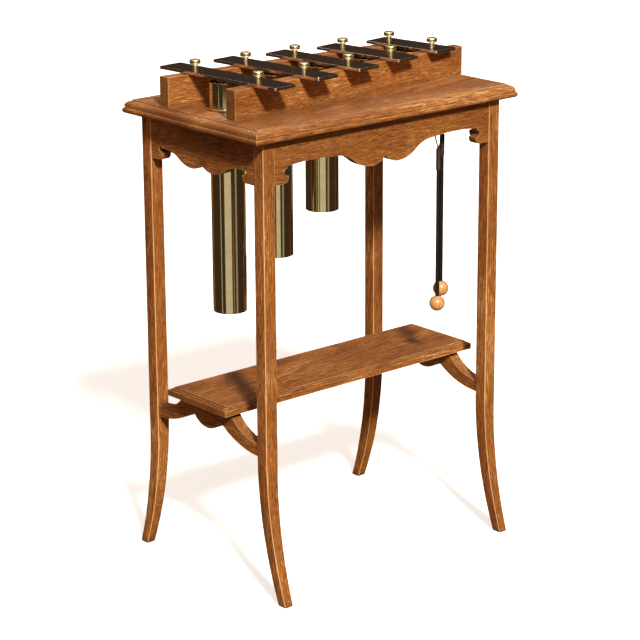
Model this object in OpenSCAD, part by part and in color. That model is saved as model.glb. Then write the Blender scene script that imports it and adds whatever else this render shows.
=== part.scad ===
// Five-bar chime stand: an oak table with converging rails, metal bars,
// brass resonators below them and two beaters that hang behind the front apron.
// X is the long way, -Y is the front, Z is up, and the floor is Z = 0.

/* [Table] */
// Height of the table's flat top above the floor
table_h = 800; // [720:5:900]
// Length over the outer faces of the legs
frame_l = 522; // [500:2:640]
// Width over the outer faces of the legs
frame_w = 316; // [300:2:400]
// Thickness of the top board
top_t = 23; // [20:1:32]
// Overhang of the top past the legs, at each end
over_end = 27; // [20:1:40]
// Overhang of the top past the legs, at front and back
over_side = 17; // [15:1:30]

/* [Legs] */
// Side of the square leg
leg_w = 24; // [20:1:34]
// Width of the foot, along X
foot_w = 17; // [12:1:20]
// Depth of the foot, along Y
foot_d = 18; // [12:1:20]
// How far the foot stands out past the straight leg
splay = 40; // [20:1:60]
// Height at which the leg starts to curve
curve_h = 240; // [180:5:245]

/* [Aprons] */
// Thickness of the apron boards
apron_t = 18; // [14:1:20]
// Height of the apron at its lobes
apron_h = 73; // [66:1:90]
// Depth of the arch cut in the front and back aprons
arch_rise = 28; // [22:1:34]
// Depth of the arch cut in the end aprons
end_rise = 20; // [16:1:26]

/* [Shelf] */
// Height of the shelf's upper face above the floor
shelf_h = 322; // [310:2:380]
// Thickness of the shelf
shelf_t = 15; // [12:1:22]
// Overhang of the shelf past the legs' outer faces, at each end
shelf_over = 20; // [10:1:26]
// Width of the shelf
shelf_w = 154; // [130:2:190]
// Thickness of the two end stretchers
stretcher_t = 20; // [14:1:22]
// Depth of a stretcher's arm where it meets the leg
arm_d = 20; // [16:1:24]
// Radius of the half-round lobe under each stretcher
lobe_r = 43; // [36:1:46]

/* [Rails] */
// Height of the rails above the table
rail_h = 49; // [40:1:60]
// Thickness of the rails
rail_t = 22; // [16:1:24]
// Left and right ends of the front rail, along X
front_ends = [-259, 279];
// Left and right ends of the rear rail, along X
rear_ends = [-272, 250];
// Room between the collars and the front rail, at the middle of the table
front_room = 11.6; // [9:0.2:20]
// Room between the collars and the rear rail, at the middle of the table
rear_room = 19.4; // [16:0.2:30]
// Turn of the front rail, in degrees
front_turn = 4.4; // [0:0.1:4.8]
// Turn of the rear rail, in degrees
rear_turn = -3.05; // [-3.4:0.05:0]

/* [Bars] */
// Length of the longest bar
bar_l = 275; // [260:1:300]
// How much shorter each next bar is
bar_step = 29; // [18:1:30]
// Width of the longest bar
bar_w = 47; // [30:1:56]
// How much wider each next bar is
bar_widen = 1.5; // [0:0.5:3]
// Thickness of a bar
bar_t = 4.5; // [3:0.5:9]
// Distance between bars, along X
bar_pitch = 102.6; // [80:0.2:104]
// Turn of the longest bar, in degrees
bar_turn = 4.4; // [0:0.2:5]
// How much more each next bar is turned, in degrees
bar_fan = 0.8; // [0:0.05:1.5]
// How far a bar can rise on its pins
bar_lift = 6; // [3:0.5:9]

/* [Resonators] */
// Outer radius of the resonator tubes
tube_r = 28.2; // [22:0.2:29]
// Wall of the resonator tubes
tube_wall = 1.4; // [1:0.1:2]
// Lengths of the tubes, from the longest bar's to the shortest bar's
tube_ls = [386, 309, 248, 172, 140];
// Width of the collar ring around each tube
collar_w = 6.2; // [4:0.2:7]

/* [Beaters] */
// Radius of a beater's ball
ball_r = 13.5; // [10:0.5:14]
// Radius of a beater's stick
stick_r = 3.3; // [2.5:0.1:3.4]
// Length of a beater's stick
stick_l = 268; // [220:1:290]
// Length of the leather loop
loop_l = 52; // [40:1:60]
// Half the width of the leather loop
loop_half = 10; // [8:0.5:12]

/* [Hidden] */

round_fn = 64;
big_fn = 360;
arc_step = 5;
eps = 1;
fit = 0.1;

oak = "peru";
brass = "goldenrod";
steel = "dimgray";
leather = "saddlebrown";
ebony = "#1d1614";
boxwood = "burlywood";
felt = "darkolivegreen";

under_top = table_h - top_t;
leg_x = (frame_l - leg_w) / 2;
leg_in_x = frame_l / 2 - leg_w;
leg_in_y = frame_w / 2 - leg_w;

// Edge moulding of the top: a small step, a quarter round, then a bead.
top_step = 2;
bead_r = (top_t - top_step) / 4;
ovolo_r = 2 * bead_r - 0.6;
quirk = 0.6;
mould_w = ovolo_r + 2.5;

// Edge moulding of the shelf: two small rounded steps.
shelf_drop = 2;
shelf_tread = 4;
shelf_mould = 2 * shelf_tread;
under_shelf = shelf_h - shelf_t;
shelf_screw_y = 25;
shelf_seat = under_shelf - 17;
shelf_bite = 9;

// Tenons that join the boards to the legs.
tenon_t = 8;
tenon_l = 9;
tenon_trim = 8;
apron_set = 1;

// Outline of the aprons.
lobe_x = 29;
lobe_cusp = 14;
lobe_run = 78;
arch_crown = 3;
end_lobe_x = 27;
end_cusp = 9.5;
end_arch = 14;
end_crown = 1;
horn_r = 9;
horn_w = 21;
notch_r = 6;
end_run = leg_in_y - horn_w - notch_r - end_arch - end_lobe_x;

// Glue blocks in the corner between aprons and top, each drilled for a screw.
block_l = 40;
block_s = 14;
block_bite = 12;
block_x = 0.3 * leg_in_x;
block_y = 0.45 * leg_in_y;

// Stretcher: its arms leave the legs level and sweep up to the shelf.
arm_z = 250;
arm_reach = 98;
arm_rise = 33;
arm_inner = 74;

felt_t = 1;
bar_z = table_h + rail_h + felt_t;
felt_r = 8;
bar_corner = 4;
bar_hole_r = 4.8;
bar_shift = 1.2;
// Depth of the rail screws, and the bars that they stand to the right of.
rail_bite = 22;
rail_screw_bays = [0, 2, 3];

// Knobbed pins that hold the bars.
pin_r = 4.2;
pin_head_r = 9.2;
pin_flare = 3.2;
pin_rim = 5.4;
pin_crown = 2.2;
pin_depth = 26;

tube_gap = 5;
tube_top = bar_z - tube_gap;
stop_t = 1.5;
collar_t = 4;
tube_clear = 0.4;

screw_r = 2;
screw_head_r = 4;
screw_head_t = 2.4;
screw_slot = 0.8;

// Beaters hang from hooks under the top, just behind the front apron.
wire_r = 1.2;
hook_bend = 5;
hook_drop = 30;
hook_step = 22;
hook_bite = 10;
hook_flange_r = 4;
hook_flange_t = 1;
loop_t = 2.4;
loop_gap = 0.3;
binding_l = 36;
binding_t = 1;
knot_l = 6;
beater_x = [145.5, 161.2];
beater_back = [9, 17];

function bar_x(i) = bar_shift + (i - 2) * bar_pitch;
function bar_len(i) = bar_l - i * bar_step;
function bar_angle(i) = bar_turn + i * bar_fan;

// A rail's middle line as [distance from centre, turn].
rail_near = tube_r + collar_w + rail_t / 2;
front_line = [-rail_near - front_room, front_turn];
rear_line = [rail_near + rear_room, rear_turn];
function line_y(line, x) = line[0] + tan(line[1]) * x;

// The bars' middles lie half way between the rails.
function bar_y(i) = (line_y(front_line, bar_x(i)) + line_y(rear_line, bar_x(i))) / 2;

// Where bar i's middle line crosses a rail's middle line, measured along the bar.
function pin_reach(i, line) =
    (line_y(line, bar_x(i)) - bar_y(i)) / (cos(bar_angle(i)) + tan(line[1]) * sin(bar_angle(i)));

function arc_r(run, drop) = (run * run + drop * drop) / (2 * drop);

module to_bar(i) {
    translate([bar_x(i), bar_y(i), 0])
        rotate([0, 0, bar_angle(i)])
            children();
}

module at_pins(line) {
    for (i = [0 : 4])
        to_bar(i)
            translate([0, pin_reach(i, line), 0])
                children();
}

// Turns an outline drawn with its second axis as height so that it runs along X.
module along_x(length) {
    rotate([90, 0, 90])
        linear_extrude(length, center = true)
            children();
}

// The same, so that it runs along Y.
module along_y(length) {
    rotate([90, 0, 0])
        linear_extrude(length, center = true)
            children();
}

// A box with its middle at the given point of its lower face.
module block(size, at) {
    translate([at[0] - size[0] / 2, at[1] - size[1] / 2, at[2]])
        cube(size);
}

// ---- Table top ----

// The edge seen end on: the flat, the step, the quarter round with its hollow side
// turned up, and the bead below.
module top_section(overall) {
    flat = overall - 2 * mould_w;
    translate([-flat / 2, -top_t])
        square([flat, top_t]);
    for (side = [0, 1])
        mirror([side, 0]) {
            intersection() {
                translate([flat / 2, -top_step - ovolo_r])
                    circle(ovolo_r, $fn = round_fn);
                translate([0, -top_step - ovolo_r])
                    square([overall, ovolo_r]);
            }
            translate([0, -top_t])
                square([overall / 2 - bead_r - quirk, top_t - top_step - ovolo_r + quirk]);
            translate([overall / 2 - bead_r, -top_t + bead_r])
                circle(bead_r, $fn = round_fn);
            translate([overall / 2 - 2 * bead_r, -top_t])
                square([bead_r, 2 * bead_r]);
        }
}

module table_top() {
    color(oak)
        difference() {
            translate([0, 0, table_h])
                intersection() {
                    along_y(frame_w * 2)
                        top_section(frame_l + 2 * over_end);
                    along_x(frame_l * 2)
                        top_section(frame_w + 2 * over_side);
                }
            for (i = [0 : 4])
                translate([bar_x(i), bar_y(i), under_top - eps])
                    cylinder(top_t + 2 * eps, r = tube_r + tube_clear, $fn = round_fn);
            at_rail_screws()
                translate([0, 0, under_top - eps])
                    cylinder(top_t + 2 * eps, r = screw_r + fit, $fn = round_fn);
            at_blocks()
                translate([0, 0, under_top - eps])
                    cylinder(block_bite + eps, r = screw_r + fit, $fn = round_fn);
            for (k = [0, 1])
                translate([beater_x[k], hook_y(k) + hook_bend, under_top - eps])
                    cylinder(hook_bite + eps, r = wire_r + fit, $fn = round_fn);
        }
}

// ---- Legs ----

// Side view of a leg at the back: straight above, swept outwards below.
module leg_side() {
    outer = frame_w / 2;
    inner = outer - leg_w;
    inner_splay = splay + leg_w - foot_d;
    outer_r = arc_r(curve_h, splay);
    inner_r = arc_r(curve_h, inner_splay);
    translate([inner, curve_h])
        square([leg_w, under_top - curve_h]);
    difference() {
        intersection() {
            translate([inner, 0])
                square([leg_w + splay, curve_h]);
            translate([inner + inner_r, curve_h])
                circle(inner_r, $fn = big_fn);
        }
        translate([outer + outer_r, curve_h])
            circle(outer_r, $fn = big_fn);
    }
}

// Front view of a leg: it narrows below the start of the curve.
module leg_front() {
    polygon([[-leg_w / 2, under_top], [leg_w / 2, under_top], [leg_w / 2, curve_h],
        [foot_w / 2, 0], [-foot_w / 2, 0], [-leg_w / 2, curve_h]]);
}

// The back right leg, with its mortises.
module leg() {
    color(oak)
        difference() {
            translate([leg_x, 0, 0])
                intersection() {
                    along_x(2 * leg_w)
                        leg_side();
                    along_y(2 * frame_w)
                        leg_front();
                }
            translate([leg_in_x, apron_y(), 0])
                apron_tenon(fit);
            translate([apron_x(), leg_in_y, 0])
                rotate([0, 0, 90])
                    apron_tenon(fit);
            translate([leg_x, leg_in_y, 0])
                rotate([0, 0, 90])
                    arm_tenon(fit);
        }
}

// ---- Aprons ----

function apron_y() = frame_w / 2 - apron_set - apron_t / 2;
function apron_x() = frame_l / 2 - apron_set - apron_t / 2;

// A tenon pointing along +X from the origin, grown by a clearance.
module apron_tenon(clear) {
    block([2 * (tenon_l + clear), tenon_t + 2 * clear, apron_h - 2 * tenon_trim + 2 * clear],
        [0, 0, under_top - apron_h + tenon_trim - clear]);
}

module arm_tenon(clear) {
    block([2 * (tenon_l + clear), tenon_t + 2 * clear, arm_d - tenon_trim + 2 * clear],
        [0, 0, arm_z + tenon_trim / 2 - clear]);
}

// Points along an arc, from angle a to angle b.
function arc(centre, r, a, b) =
    let (steps = max(2, ceil(abs(b - a) / arc_step)))
        [for (k = [0 : steps]) centre + r * [cos(a + (b - a) * k / steps), sin(a + (b - a) * k / steps)]];

function flipped(points) = [for (k = [len(points) - 1 : -1 : 0]) [-points[k][0], points[k][1]]];

// The lower edge of one half of an apron, from the middle cusp out to the leg. The lobe's foot is
// height 0. The edge is a row of arcs: the lobe, the hollow beside it, the long shallow arch, a
// small round notch, and the round nose of the horn against the leg.
function apron_edge(half, low_x, cusp, run, rise, crown) =
    let (
        inner_r = arc_r(low_x, cusp),
        wave_r = arc_r(run, rise) / 2,
        wave = asin(run / 2 / wave_r),
        crest = low_x + run,
        horn = half - horn_w,
        span = (horn - notch_r - crest) / 2,
        crown_r = arc_r(span, crown),
        bend = asin(span / crown_r),
        meet = -2 * atan2(horn_r, notch_r)
    )
    concat(
        arc([low_x, inner_r], inner_r, -90 - asin(low_x / inner_r), -90),
        arc([low_x, wave_r], wave_r, -90, -90 + wave),
        arc([crest, rise - wave_r], wave_r, 90 + wave, 90),
        arc([crest + span, rise + crown - crown_r], crown_r, 90 + bend, 90 - bend),
        arc([horn - notch_r, 2 * horn_r], notch_r, 90, meet),
        arc([horn, horn_r], horn_r, 270 + meet, 270),
        [[half, 0]]
    );

// A whole apron board along X, centred on Y = 0.
module apron(half, low_x, cusp, run, rise, crown) {
    edge = apron_edge(half, low_x, cusp, run, rise, crown);
    translate([0, 0, under_top - apron_h])
        along_y(apron_t)
            polygon(concat(flipped(edge), edge, [[half, apron_h], [-half, apron_h]]));
    for (side = [-1, 1])
        translate([side * half, 0, 0])
            apron_tenon(0);
}

module apron_long() {
    color(oak)
        apron(leg_in_x, lobe_x, lobe_cusp, lobe_run, arch_rise, arch_crown);
}

module apron_short() {
    color(oak)
        rotate([0, 0, 90])
            apron(leg_in_y, end_lobe_x, end_cusp, end_run, end_rise, end_crown);
}

module at_blocks() {
    side_y = apron_y() - (apron_t + block_s) / 2;
    side_x = apron_x() - (apron_t + block_s) / 2;
    for (x = [-block_x, block_x], y = [-side_y, side_y])
        translate([x, y, 0])
            children();
    for (x = [-side_x, side_x], y = [-block_y, block_y])
        translate([x, y, 0])
            rotate([0, 0, 90])
                children();
}

module glue_blocks() {
    color(oak)
        at_blocks()
            difference() {
                block([block_l, block_s, block_s], [0, 0, under_top - block_s]);
                translate([0, 0, under_top - block_s - eps])
                    cylinder(block_s + 2 * eps, r = screw_r + fit, $fn = round_fn);
            }
}

// A round-headed wood screw pointing up, its head under the given height.
module screw(seat, reach) {
    difference() {
        translate([0, 0, seat - screw_head_t])
            cylinder(screw_head_t, r = screw_head_r, $fn = round_fn);
        block([3 * screw_head_r, screw_slot, screw_slot + eps], [0, 0, seat - screw_head_t - eps]);
    }
    translate([0, 0, seat])
        cylinder(reach - screw_r, r = screw_r, $fn = round_fn);
    translate([0, 0, seat + reach - screw_r])
        cylinder(screw_r, r1 = screw_r, r2 = screw_r / 4, $fn = round_fn);
}

module top_screws() {
    color(steel)
        at_blocks()
            screw(under_top - block_s, block_s + block_bite - eps);
}

// ---- Shelf and stretchers ----

module shelf_section(overall) {
    for (k = [0 : 2]) {
        w = overall - 2 * shelf_mould + 2 * k * shelf_tread;
        translate([-w / 2, -shelf_t])
            square([w, shelf_t - k * shelf_drop - (k > 0 ? shelf_drop : 0)]);
    }
    for (side = [-1, 1], k = [1, 2])
        translate([side * (overall / 2 - (2 - k) * shelf_tread - shelf_drop), -(k + 1) * shelf_drop])
            circle(shelf_drop, $fn = round_fn);
}

module shelf() {
    color(oak)
        difference() {
            translate([0, 0, shelf_h])
                intersection() {
                    along_y(2 * shelf_w)
                        shelf_section(frame_l + 2 * shelf_over);
                    along_x(2 * frame_l)
                        shelf_section(shelf_w);
                }
            at_shelf_screws()
                translate([0, 0, under_shelf - eps])
                    cylinder(shelf_bite + eps, r = screw_r + fit, $fn = round_fn);
        }
}

module at_shelf_screws() {
    for (x = [-leg_x, leg_x], y = [-shelf_screw_y, shelf_screw_y])
        translate([x, y, 0])
            children();
}

module shelf_screws() {
    color(steel)
        at_shelf_screws()
            screw(shelf_seat, under_shelf - shelf_seat + shelf_bite - eps);
}

// Half of a stretcher's outline: arm and half lobe.
module stretcher_half() {
    lower_r = arc_r(arm_reach, arm_rise);
    upper_r = arc_r(arm_inner, under_shelf - arm_z - arm_d);
    difference() {
        intersection() {
            translate([leg_in_y - arm_reach - eps, arm_z])
                square([arm_reach + eps, under_shelf - arm_z]);
            translate([leg_in_y, arm_z + lower_r])
                circle(lower_r, $fn = big_fn);
        }
        translate([leg_in_y, arm_z + arm_d + upper_r])
            circle(upper_r, $fn = big_fn);
    }
    intersection() {
        translate([0, under_shelf])
            circle(lobe_r, $fn = big_fn);
        translate([0, arm_z])
            square([lobe_r, under_shelf - arm_z]);
    }
}

module stretcher() {
    color(oak)
        difference() {
            union() {
                along_x(stretcher_t)
                    for (side = [0, 1])
                        mirror([side, 0])
                            stretcher_half();
                for (side = [-1, 1])
                    translate([0, side * leg_in_y, 0])
                        rotate([0, 0, 90])
                            arm_tenon(0);
            }
            for (y = [-shelf_screw_y, shelf_screw_y])
                translate([0, y, 0]) {
                    cylinder(shelf_h, r = screw_r + fit, $fn = round_fn);
                    cylinder(shelf_seat, r = screw_head_r + 2 * fit, $fn = round_fn);
                }
        }
}

// ---- Rails ----

// A rail seen from above: its sides follow its line and its ends are square to the table.
module rail_outline(line, ends) {
    half = rail_t / 2 / cos(line[1]);
    polygon([for (k = [0, 1], side = k == 0 ? [-1, 1] : [1, -1])
        [ends[k], line_y(line, ends[k]) + side * half]]);
}

module rail_holes(line) {
    at_pins(line)
        translate([0, 0, table_h + rail_h - pin_depth])
            cylinder(pin_depth + eps, r = pin_r + fit, $fn = round_fn);
}

module rail(line, ends) {
    color(oak)
        difference() {
            translate([0, 0, table_h])
                linear_extrude(rail_h)
                    rail_outline(line, ends);
            at_rail_screws()
                translate([0, 0, table_h - eps])
                    cylinder(rail_bite + eps, r = screw_r + fit, $fn = round_fn);
            rail_holes(line);
        }
}

module at_rail_screws() {
    for (line = [front_line, rear_line], k = rail_screw_bays) {
        x = bar_x(k) + bar_pitch / 2;
        translate([x, line_y(line, x), 0])
            children();
    }
}

module rail_screws() {
    color(steel)
        at_rail_screws()
            screw(under_top, top_t + rail_bite - eps);
}

module bar_felts() {
    color(felt)
        for (line = [front_line, rear_line])
            at_pins(line)
                translate([0, 0, table_h + rail_h])
                    difference() {
                        cylinder(felt_t, r = felt_r, $fn = round_fn);
                        translate([0, 0, -eps])
                            cylinder(felt_t + 2 * eps, r = pin_r + fit, $fn = round_fn);
                    }
}

// ---- Bars and their pins ----

// A bar seen from above, with small round corners.
module bar_outline(length, width) {
    square([width - 2 * bar_corner, length], center = true);
    square([width, length - 2 * bar_corner], center = true);
    for (x = [-1, 1], y = [-1, 1])
        translate([x * (width / 2 - bar_corner), y * (length / 2 - bar_corner)])
            circle(bar_corner, $fn = round_fn);
}

module bar(i) {
    color(steel)
        to_bar(i)
            translate([0, 0, bar_z])
                difference() {
                    linear_extrude(bar_t)
                        bar_outline(bar_len(i), bar_w + i * bar_widen);
                    for (line = [front_line, rear_line])
                        translate([0, pin_reach(i, line), -eps])
                            cylinder(bar_t + 2 * eps, r = bar_hole_r, $fn = round_fn);
                }
}

// Knobbed pin: straight shank, flared neck and a thick round-edged head.
module bar_pins(line) {
    shank_top = bar_z + bar_t + bar_lift;
    color(brass)
        at_pins(line) {
            translate([0, 0, table_h + rail_h - pin_depth + eps])
                cylinder(shank_top - table_h - rail_h + pin_depth - eps, r = pin_r, $fn = round_fn);
            translate([0, 0, shank_top])
                rotate_extrude($fn = round_fn)
                    pin_head();
        }
}

// Half section of a pin's head: a trumpet neck, a thick round rim and a low crown.
module pin_head() {
    rim_r = pin_rim / 2;
    flat_r = pin_head_r - rim_r;
    crown_r = arc_r(flat_r, pin_crown);
    difference() {
        square([pin_r + pin_flare, pin_flare]);
        translate([pin_r + pin_flare, 0])
            circle(pin_flare, $fn = round_fn);
    }
    translate([0, pin_flare])
        square([flat_r, pin_rim]);
    translate([flat_r, pin_flare + rim_r])
        circle(rim_r, $fn = round_fn);
    translate([0, pin_flare + pin_rim])
        intersection() {
            square([flat_r, pin_crown]);
            translate([0, pin_crown - crown_r])
                circle(crown_r, $fn = big_fn);
        }
}

// ---- Resonators ----

module resonator(i) {
    color(brass)
        translate([bar_x(i), bar_y(i), tube_top - tube_ls[i]])
            difference() {
                cylinder(tube_ls[i], r = tube_r, $fn = big_fn);
                translate([0, 0, -eps])
                    cylinder(tube_ls[i] + 2 * eps, r = tube_r - tube_wall, $fn = big_fn);
            }
}

module resonator_stop(i) {
    color(brass)
        translate([bar_x(i), bar_y(i), tube_top - tube_ls[i]])
            cylinder(stop_t, r = tube_r - tube_wall - fit / 2, $fn = big_fn);
}

// Collar ring with a rounded upper edge, standing on the table around the tube.
module collar(i) {
    color(brass)
        translate([bar_x(i), bar_y(i), table_h])
            rotate_extrude($fn = big_fn)
                translate([tube_r + fit / 2, 0]) {
                    square([collar_w - collar_t / 2, collar_t]);
                    square([collar_w, collar_t / 2]);
                    translate([collar_w - collar_t / 2, collar_t / 2])
                        circle(collar_t / 2, $fn = round_fn);
                }
}

// ---- Beaters ----

function hook_y(k) = -apron_y() + apron_t / 2 + beater_back[k];
// The second beater hangs one step higher than the first.
function hook_z(k) = under_top - hook_drop + k * hook_step;

// A loop is the ring between two leaning arcs, tall and narrow, centred at its middle.
function loop_arc() = (loop_l * loop_l / 4 + loop_half * loop_half) / (2 * loop_half);
function loop_off() = loop_arc() - loop_half;
// height above the loop's middle at which the hook's wire just fits between the arcs
function wire_rise() = sqrt(pow(loop_arc() - loop_t - wire_r - loop_gap, 2) - pow(loop_off(), 2));
function loop_mid(k) = hook_z(k) - wire_rise();
function stick_top(k) = loop_mid(k) - loop_l / 2 - knot_l / 2;

module lens(r) {
    intersection_for (side = [-1, 1])
        translate([side * loop_off(), 0])
            circle(r, $fn = big_fn);
}

module to_beater(k) {
    translate([beater_x[k], hook_y(k), 0])
        children();
}

module hook(k) {
    color(brass)
        to_beater(k) {
            translate([0, hook_bend, hook_z(k) + hook_bend])
                cylinder(under_top - hook_z(k) - hook_bend + hook_bite - eps, r = wire_r, $fn = round_fn);
            translate([0, hook_bend, under_top - hook_flange_t])
                cylinder(hook_flange_t, r = hook_flange_r, $fn = round_fn);
            translate([0, 0, hook_z(k) + hook_bend])
                rotate([0, 90, 0])
                    rotate([0, 0, -90])
                        rotate_extrude(angle = 180, $fn = round_fn)
                            translate([hook_bend, 0])
                                circle(wire_r, $fn = round_fn);
            translate([0, -hook_bend, hook_z(k) + hook_bend])
                cylinder(hook_bend / 2, r = wire_r, $fn = round_fn);
        }
}

module beater_loop(k) {
    color(leather)
        to_beater(k) {
            translate([0, 0, loop_mid(k)])
                along_y(loop_t)
                    difference() {
                        lens(loop_arc());
                        lens(loop_arc() - loop_t);
                    }
            translate([0, 0, stick_top(k)])
                cylinder(knot_l, r = stick_r, $fn = round_fn);
        }
}

module beater_binding(k) {
    color(leather)
        to_beater(k)
            translate([0, 0, stick_top(k) + knot_l / 2 - binding_l])
                difference() {
                    cylinder(binding_l, r = stick_r + fit / 2 + binding_t, $fn = round_fn);
                    translate([0, 0, -eps])
                        cylinder(binding_l + 2 * eps, r = stick_r + fit / 2, $fn = round_fn);
                }
}

module beater_stick(k) {
    color(ebony)
        to_beater(k)
            translate([0, 0, stick_top(k) - stick_l])
                cylinder(stick_l, r = stick_r, $fn = round_fn);
}

module beater_ball(k) {
    color(boxwood)
        to_beater(k)
            translate([0, 0, stick_top(k) - stick_l])
                difference() {
                    sphere(ball_r, $fn = big_fn);
                    cylinder(2 * ball_r, r = stick_r + fit / 2, $fn = round_fn);
                }
}

table_top();
leg();  // leg_back_right
mirror([1, 0, 0]) leg();  // leg_back_left
mirror([0, 1, 0]) leg();  // leg_front_right
mirror([1, 0, 0]) mirror([0, 1, 0]) leg();  // leg_front_left
translate([0, -apron_y(), 0]) apron_long();  // apron_front
translate([0, apron_y(), 0]) apron_long();  // apron_back
translate([-apron_x(), 0, 0]) apron_short();  // apron_left
translate([apron_x(), 0, 0]) apron_short();  // apron_right
glue_blocks();
top_screws();
shelf();
translate([-leg_x, 0, 0]) stretcher();  // stretcher_left
translate([leg_x, 0, 0]) stretcher();  // stretcher_right
shelf_screws();
rail(front_line, front_ends);  // rail_front
rail(rear_line, rear_ends);  // rail_rear
rail_screws();
bar_felts();
bar_pins(front_line);  // bar_pins_front
bar_pins(rear_line);  // bar_pins_rear
bar(0);  // bar_1
bar(1);  // bar_2
bar(2);  // bar_3
bar(3);  // bar_4
bar(4);  // bar_5
resonator(0);  // resonator_1
resonator(1);  // resonator_2
resonator(2);  // resonator_3
resonator(3);  // resonator_4
resonator(4);  // resonator_5
resonator_stop(0);  // resonator_stop_1
resonator_stop(1);  // resonator_stop_2
resonator_stop(2);  // resonator_stop_3
resonator_stop(3);  // resonator_stop_4
resonator_stop(4);  // resonator_stop_5
collar(0);  // collar_1
collar(1);  // collar_2
collar(2);  // collar_3
collar(3);  // collar_4
collar(4);  // collar_5
hook(0);  // hook_1
hook(1);  // hook_2
beater_loop(0);  // beater_loop_1
beater_loop(1);  // beater_loop_2
beater_binding(0);  // beater_binding_1
beater_binding(1);  // beater_binding_2
beater_stick(0);  // beater_stick_1
beater_stick(1);  // beater_stick_2
beater_ball(0);  // beater_ball_1
beater_ball(1);  // beater_ball_2
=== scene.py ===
"""Looks for a five-bar chime stand: waxed oak table, polished metal bars, brass resonators and beaters.

Everything is in metres in the frame of the packed part. Sizes come from the packed boxes,
and the settings below hold what those boxes can't say.
"""
import math

import bmesh
import bpy
import numpy as np
from bpy.props import FloatProperty, FloatVectorProperty, PointerProperty, StringProperty
from mathutils import Matrix, Vector


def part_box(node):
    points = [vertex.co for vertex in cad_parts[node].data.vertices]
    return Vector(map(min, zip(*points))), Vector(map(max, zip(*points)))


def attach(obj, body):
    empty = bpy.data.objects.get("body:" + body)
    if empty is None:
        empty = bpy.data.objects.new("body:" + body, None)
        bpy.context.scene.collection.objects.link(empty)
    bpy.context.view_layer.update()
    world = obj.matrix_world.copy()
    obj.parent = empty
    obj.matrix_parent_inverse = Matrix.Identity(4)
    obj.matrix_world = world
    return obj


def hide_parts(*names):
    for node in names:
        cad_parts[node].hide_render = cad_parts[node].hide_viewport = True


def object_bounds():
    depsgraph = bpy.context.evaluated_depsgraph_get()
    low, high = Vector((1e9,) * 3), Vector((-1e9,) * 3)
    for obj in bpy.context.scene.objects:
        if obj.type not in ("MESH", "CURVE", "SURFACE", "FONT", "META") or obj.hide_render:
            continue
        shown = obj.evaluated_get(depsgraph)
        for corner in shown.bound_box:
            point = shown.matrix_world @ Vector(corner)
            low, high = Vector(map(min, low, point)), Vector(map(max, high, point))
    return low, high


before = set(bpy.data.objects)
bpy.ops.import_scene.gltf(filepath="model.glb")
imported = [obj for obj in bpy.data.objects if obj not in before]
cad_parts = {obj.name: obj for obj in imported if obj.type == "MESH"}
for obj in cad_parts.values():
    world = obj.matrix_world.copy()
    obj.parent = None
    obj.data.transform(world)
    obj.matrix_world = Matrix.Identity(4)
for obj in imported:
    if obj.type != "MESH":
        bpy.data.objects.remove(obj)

CAD_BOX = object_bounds()

bl_info = {
    "name": "Chime Stand Looks",
    "version": (1, 0, 0),
    "blender": (4, 5, 0),
    "location": "3D View > Sidebar > Chime Stand",
    "description": "Builds the visible pieces, finishes and stage of an oak chime stand",
    "category": "Object",
}

MM = 0.001
BARS = range(1, 6)
BEATERS = (1, 2)
SNUG = 0.05 * MM  # gap between pieces that fit closely
CRISP = math.radians(50)  # turned and joined pieces keep edges sharper than this
THONG_CRISP = math.radians(60)  # and the leather ones keep edges sharper than this
MIX_A, MIX_B, MIXED = 6, 7, 2  # places of a Mix node's colour inputs and output, whose names repeat

# colours that no setting changes
BLOOM, RUST, RUBBED_HIDE, BRUISE = "#8d7460", "#5b3a26", "#4a2814", "#8f5c2e"
LAMP_TINT, WALL_TINT, FLOOR_CLOUD = "#fffaf2", "#ffcf9e", "#fbfaf8"

# directions run from the stand's middle, distances and sizes are in metres
SUN_DISTANCE, PANEL_DISTANCE = 3, 1.5
KEY_SIDE, OVERHEAD = (-0.33, -0.72, 0.62), (0.0, -0.1, 1.0)
WALL_FILLS = (("Low fill", 0.7, (-0.75, -0.55, -0.25)), ("Back fill", 1.1, (0.5, 0.75, 0.2)))
PANELS = (
    ("Band panel", 3.3, (-0.66, -0.72, -0.22), (1.5, 1.2)),
    ("Left line panel", 0.2, (-0.98, 0.05, -0.2), (0.12, 1.2)),
    ("Right line panel", 0.35, (0.07, -1.0, -0.25), (0.3, 1.2)),
    ("Back panel", 1.6, (0.62, 0.74, -0.5), (1.6, 0.5)),
    ("High panel", 11, (0.1, 0.2, 0.95), (1.6, 1.6)),
    ("Front panel", 8, (-0.5, -0.6, 0.85), (0.9, 0.6)),
)


# ---- Small tools ----

def linear(code):
    """Turns an sRGB hex colour such as #a06f47 into linear red, green, blue and alpha."""
    parts = np.array([int(code[k:k + 2], 16) for k in (1, 3, 5)]) / 255
    out = np.where(parts <= 0.04045, parts / 12.92, ((parts + 0.055) / 1.055) ** 2.4)
    return (*out.tolist(), 1.0)


def fill(node, inputs):
    """Links or fills a node's inputs. Each is given by its name, or by its place where names repeat."""
    for key, value in inputs.items():
        if isinstance(value, bpy.types.NodeSocket):
            node.id_data.links.new(value, node.inputs[key])
        else:
            node.inputs[key].default_value = value


def add(tree, kind, inputs=None, out=0, stops=(), **settings):
    """Adds a node, sets its settings, fills or links its inputs, and gives back one output. stops are
    a colour ramp's pairs of place and hex colour or grey value."""
    node = tree.nodes.new(kind)
    for name, value in settings.items():
        setattr(node, name, value)
    fill(node, inputs or {})
    for k, (place, colour) in enumerate(stops):
        elements = node.color_ramp.elements
        element = elements[k] if k < 2 else elements.new(place)
        element.position = place
        element.color = linear(colour) if isinstance(colour, str) else (colour, colour, colour, 1)
    return node.outputs[out] if len(node.outputs) else node


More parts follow.
